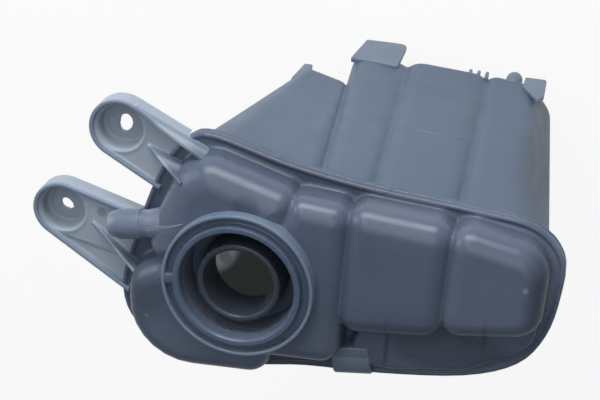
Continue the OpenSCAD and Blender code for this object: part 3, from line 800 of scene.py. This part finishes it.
# One web joins the neck to the collar.
web_turn, web_in, web_out, web_half = math.radians(184), 28.6, 33.7, 2.3
web_u = np.array((math.cos(web_turn), math.sin(web_turn)))
web_v = np.array((-math.sin(web_turn), math.cos(web_turn)))
web_corners = (web_in, -web_half), (web_out, -web_half), (web_out, web_half), (web_in, web_half)
web_low, web_high = ([(*(r * web_u + t * web_v), h) for r, t in web_corners] for h in (-6.0, -1.0))
neck_web = block("neck_web", web_low, web_high, 0.5)
finish(neck_web, neck_plastic, "upper_shell")

# ---------------------------------------------------------------- neck thread
# The cap's thread is a fine, low ridge moulded inside the bore. It shows as close lines round the wall.
thread_plastic = soft_plastic("thread_plastic", (0.085, 0.1, 0.135), (0.115, 0.13, 0.165), 0.26, 18, dust=0)
tree, given, outlet = nodes_tree("neck_thread", [
    ("Bore", "NodeSocketFloat", 0.026), ("Turns", "NodeSocketFloat", 6.0), ("Height", "NodeSocketFloat", 0.016),
    ("Start", "NodeSocketFloat", -0.019), ("Ridge", "NodeSocketFloat", 0.0004)])
coil = tree.nodes.new("GeometryNodeCurveSpiral")
coil.inputs["Resolution"].default_value = 160
lift = tree.nodes.new("ShaderNodeCombineXYZ")
lower = tree.nodes.new("GeometryNodeTransform")
tree.links.new(given["Turns"], coil.inputs["Rotations"])
tree.links.new(given["Bore"], coil.inputs["Start Radius"])
tree.links.new(given["Bore"], coil.inputs["End Radius"])
tree.links.new(given["Height"], coil.inputs["Height"])
tree.links.new(given["Start"], lift.inputs["Z"])
tree.links.new(coil.outputs["Curve"], lower.inputs["Geometry"])
tree.links.new(lift.outputs["Vector"], lower.inputs["Translation"])
end_tree(tree, bar_along(tree, lower.outputs["Geometry"], given["Ridge"]), thread_plastic, outlet)
neck_thread = grown(
    "neck_thread", tree,
    {"Bore": bore_radius * MM, "Turns": 9.0, "Height": 0.0144, "Start": -0.0194, "Ridge": 0.00028})
finish(neck_thread, thread_plastic, "upper_shell")

# ---------------------------------------------------------------- lower moulding
# The bottom half: four fluted columns that lean and narrow towards the far end, the first one shorter,
# on a flange lip that is welded to the upper one. Moulded in the same plastic with the same wall.
fold_a, fold_b, fold_c = 26.0, 50.0, 89.0
body_depth, first_short = 175.0, 42
columns = [
    # Corners with their radii at the flange, left, right, back and front at the far end, and depth. The last form
    # joins the deep columns inside.
    ([(-38, -47, 20), (fold_a + overlap, -43, 8), (fold_a + overlap, 47.5, 9), (-22, 53.4, 18), (-42, 45, 20),
      (-57, -20, 20)],
     (-21, 12.5, -34, 46), body_depth - first_short),
    ([(fold_a - overlap, -42, 7), (fold_b + overlap, -41, 7), (fold_b + overlap, 43, 8), (fold_a - overlap, 46.5, 8)],
     (7, 40, -34, 44), body_depth),
    ([(fold_b - overlap, -40, 7), (fold_c + overlap, -35, 8), (fold_c + overlap, 41.5, 9), (fold_b - overlap, 43, 9)],
     (36, 83, -32, 44), body_depth),
    ([(fold_c - overlap, -35, 8), (108, -31, 14), (131, -12, 16), (132.6, 24, 14), (118.5, 39, 12),
      (fold_c - overlap, 41.5, 9)],
     (79, 117.6, -28, 43.5), body_depth),
    ([(16, -37, 6), (106, -27, 12), (126, -10, 12), (128, 22, 12), (115, 34, 10), (16, 40, 6)],
     (14, 112, -28, 38), body_depth - 1)]


def leaning(x, y, z, corners, end, depth, end_round):
    # Distance to a column whose plan shrinks and moves from its corners at the flange to a box at its far end.
    across, back = [c[0] for c in corners], [c[1] for c in corners]
    left, right, low, high = min(across), max(across), min(back), max(back)
    share = np.clip((body_z - z) / depth, -0.1, 1.1)
    places, shrink = [], 1
    for values, (a0, a1), (b0, b1) in ((x, (left, right), end[:2]), (y, (low, high), end[2:])):
        scale = 1 + share * ((b1 - b0) / (a1 - a0) - 1)
        middle = (a0 + a1) / 2
        moved = middle + share * ((b0 + b1) / 2 - middle)
        places.append(middle + (values - moved) / scale)
        shrink = shrink * scale

    # The distance to the outline is worked out once, on a plan grid with room round it, and looked up from there.
    fine, room_x, room_y = 1.0, 90, 60
    gx, gy = np.arange(left - room_x, right + room_x, fine), np.arange(low - room_y, high + room_y, fine)
    plan = plan_distance(gx[:, None], gy[None, :], rounded_outline(corners))
    fx = np.clip((places[0] - gx[0]) / fine, 0, len(gx) - 1.001)
    fy = np.clip((places[1] - gy[0]) / fine, 0, len(gy) - 1.001)
    ix, iy = fx.astype(int), fy.astype(int)
    tx, ty = fx - ix, fy - iy
    side = (plan[ix, iy] * (1 - tx) + plan[ix + 1, iy] * tx) * (1 - ty)
    side = side + (plan[ix, iy + 1] * (1 - tx) + plan[ix + 1, iy + 1] * tx) * ty
    return rounded_top(side * np.sqrt(shrink), body_z - depth - z, end_round)


lower_step = 1.15
lower_low = (-66.0, -60.0, -212.0)
x, y, z = (v.astype(np.float32) for v in grid(lower_low, (146.0, 66.0, -27.0), lower_step))
forms = None
for corners, end, depth in columns:
    form = leaning(x, y, z, corners, end, depth, 8.0)
    forms = form if forms is None else soft_union(forms, form, 2.0)
flange_plan = plan_distance(x, y, flange_line)
lip = rounded_top(flange_plan, abs(z - (weld_z - half_lip)) - half_lip, 0.8)
hollow = np.maximum(forms + wall, np.where(z > body_z - wall, flange_plan + lip_width + wall, -1e3))
tank = np.maximum(soft_union(lip, np.maximum(forms, z - body_z), 3.0), -hollow)
tank = np.maximum(tank, z - weld_z)
lower_moulding = moulding("lower_moulding", tank, lower_low, lower_step)
lower_plastic = soft_plastic("lower_plastic", (0.067, 0.104, 0.166), (0.084, 0.126, 0.195), 0.36, 11, glow=0.25)
# Painted shade darkens the far side of the last column; the pale scuff and the two dark spots are marks on the skin.
for tint in (
        ((119, 37, -124), (16, 50, 110), painted_shade_and_smudge_tint, 0.45, 0.7),  # far side of the last column
        ((63, 42.8, -110), (7, 3, 0.5), worn_tint, 0.5),  # short pale scuff
        ((79.5, 42, -110), (3.5, 3, 2.5), painted_shade_and_smudge_tint, 0.4, 0.8),  # two dark spots
        ((82, 41.6, -83), (1.5, 3, 2), painted_shade_and_smudge_tint, 0.4, 0.8)):
    tint_patch(lower_plastic, *tint)
finish(lower_moulding, lower_plastic, "lower_shell")

# Light soaks through the walls, so the inside is paler than the skin: its colour is painted light, and a weak glow
# stands in for that light too. The bright patch seen down the filler neck is painted light as well, with a painted
# shadow on it as a darker spot.
inner_plastic = soft_plastic("inner_plastic", (0.13, 0.145, 0.15), (0.18, 0.19, 0.18), 0.5, 30, dust=0)
tint_patch(inner_plastic, (-34, -36, -95), (12.5, 16, 24), (0.84, 0.95, 1.0), 0.95, 0.4)
tint_patch(inner_plastic, (-28, -36, -89), (4, 16, 5), (0.4, 0.44, 0.44), 0.7, 0.3)
inner_shader = inner_plastic.node_tree.nodes["Principled BSDF"]
inner_plastic.node_tree.links.new(
    inner_shader.inputs["Base Color"].links[0].from_socket, inner_shader.inputs["Emission Color"])
inner_shader.inputs["Emission Strength"].default_value = 0.1
lower_moulding.data.materials.append(inner_plastic)

# The faces that lie on the hollow get the inner plastic.
middles = np.empty(len(lower_moulding.data.polygons) * 3, np.float32)
lower_moulding.data.polygons.foreach_get("center", middles)
middles = (middles.reshape(-1, 3) / MM - np.array(lower_low)) / lower_step
inner = (abs(sample(hollow, middles)) < 0.5 * lower_step).astype(np.int32)
lower_moulding.data.polygons.foreach_set("material_index", inner)

# ---------------------------------------------------------------- far end
# At the far end the bottom half has a locating tongue, two tabs, a knob and a row of small teeth, all moulded
# with it. They guide the tank into its bracket.
far_z = body_z - body_depth
round_x, round_z, round_radius = 20, -15.8, 4
tongue_round = [
    (round_x + round_radius * math.cos(a), round_z + round_radius * math.sin(a))
    for a in np.linspace(-math.pi / 2, 0, 7)]
end_plates = [
    # Name, its point on the skin, thickness, and corners as steps along and up from that point.
    ("far_tongue", (9, 43.5, far_z), 3, [(-1.5, 14), (1, -18), (16, -19.8)] + tongue_round + [(24.6, 16)]),
    ("near_tab", (-15.8, 42, far_z + first_short), 3, [(0, 12), (1.5, -11), (6, -11.5), (8, 6)]),
    ("corner_tab", (101, 43, far_z), 2.5, [(0, 14), (0, 0), (10.8, -1), (11.6, 1), (12.2, 24), (9.4, 30)])]
tooth_drop, tooth_width = 1.8, 1.8
for tooth_x in (70.5, 75, 79.5):
    end_plates.append((
        f"tooth_{tooth_x:.0f}", (tooth_x, 42, far_z - tooth_drop), 5,
        [(0, 10), (0, 0), (tooth_width, 0), (tooth_width, 10)]))
# Their plastic is paler than the bottom half's: painted light coming through the thin plates.
far_plastic = soft_plastic("far_plastic", (0.14, 0.185, 0.25), (0.17, 0.22, 0.29), 0.36, 20, glow=0.2)
for name, (bx, by, bz), thick, line in end_plates:
    outer_side, inner_side = ([(bx + px, by - t, bz + pz) for px, pz in line] for t in (0, thick))
    finish(block(name, outer_side, inner_side, 0.6), far_plastic, "lower_shell")

# The knob is a short pin with a round end.
knob_radius, knob_centre, knob_pole = 4.4, (95, 38), 0.0005
knob_root, knob_end = far_z + 7, far_z - 6.2
knob_profile = [(knob_pole, knob_root), (knob_pole, knob_end - knob_radius)] + [
    (knob_radius * math.cos(a), knob_end + knob_radius * math.sin(a)) for a in np.linspace(-1.5, 0, 12)] + [
    (knob_radius, knob_root)]
far_knob = turned("far_knob", knob_profile, 48, knob_centre)
finish(far_knob, far_plastic, "lower_shell")

# ---------------------------------------------------------------- outlet spigot
# The return hose pushes onto a straight spigot in the middle of the far end and is held by a hose clip. It is
# moulded with the bottom half and has a thin bead at its tip.
outlet_radius, outlet_wall, outlet_length, outlet_centre = 11.0, 3.0, 26.0, (64, 0)
outlet_bore, hose_seat = outlet_radius - outlet_wall, outlet_radius - 0.7
tip_z, root_z = far_z - outlet_length, far_z + 3.4
outlet_profile = [
    (outlet_bore, root_z, 0.3), (outlet_bore, tip_z, 0.8), (outlet_radius - 0.9, tip_z, 0.8),
    (outlet_radius, tip_z + 2.5, 0.8), (outlet_radius, tip_z + 5, 0.8), (hose_seat, tip_z + 6.5, 0.8),
    (hose_seat, far_z - 3, 1.0), (outlet_radius, far_z + 0.5, 1.0), (outlet_radius, root_z, 0.3)]
outlet_spigot = turned("outlet_spigot", eased_profile(outlet_profile), 96, outlet_centre)
finish(outlet_spigot, lower_plastic, "lower_shell")
